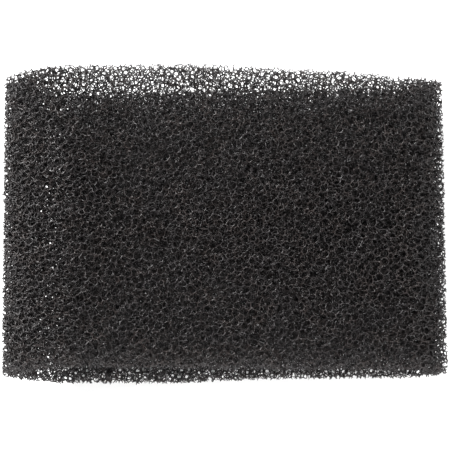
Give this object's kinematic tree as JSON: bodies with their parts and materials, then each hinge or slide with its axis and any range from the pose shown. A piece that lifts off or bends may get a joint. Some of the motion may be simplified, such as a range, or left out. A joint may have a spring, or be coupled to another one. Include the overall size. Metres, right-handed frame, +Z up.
{
  "type": "sponge filter sleeve",
  "caption": "Flattened open-ended sleeve of coarse black open-cell foam, glued at one seam, that slips over a pump's intake cage and strains the water.",
  "frame": {"origin": "middle of the sleeve's footprint, on the surface it lies on", "axes": "+Y along the open bore, +X across the sleeve from the wide fold to the tight fold, +Z up through the bowed upper wall; the glued seam is in the lower wall at -X"},
  "size_m": [0.19, 0.1284, 0.067],
  "materials": {
    "filter_foam": "coarse open-cell foam, dull satin struts, near black",
    "seam_glue": "cured contact adhesive, black, slightly glossy"
  },
  "bodies": {
    "lower": {"lower_wall_short": "filter_foam", "lower_wall_long": "filter_foam", "seam_bond": "seam_glue", "left_fold": "filter_foam", "right_fold": "filter_foam"},
    "upper": {"upper_wall": "filter_foam"}
  },
  "joints": [
    {"name": "squeeze", "type": "slide", "parent": "lower", "child": "upper", "axis": [0, 0, -1], "range_m": [0, 0.015], "stiffness_N_per_m": 200, "springref_m": -0.0015, "deforming": ["left_fold", "right_fold"]}
  ]
}
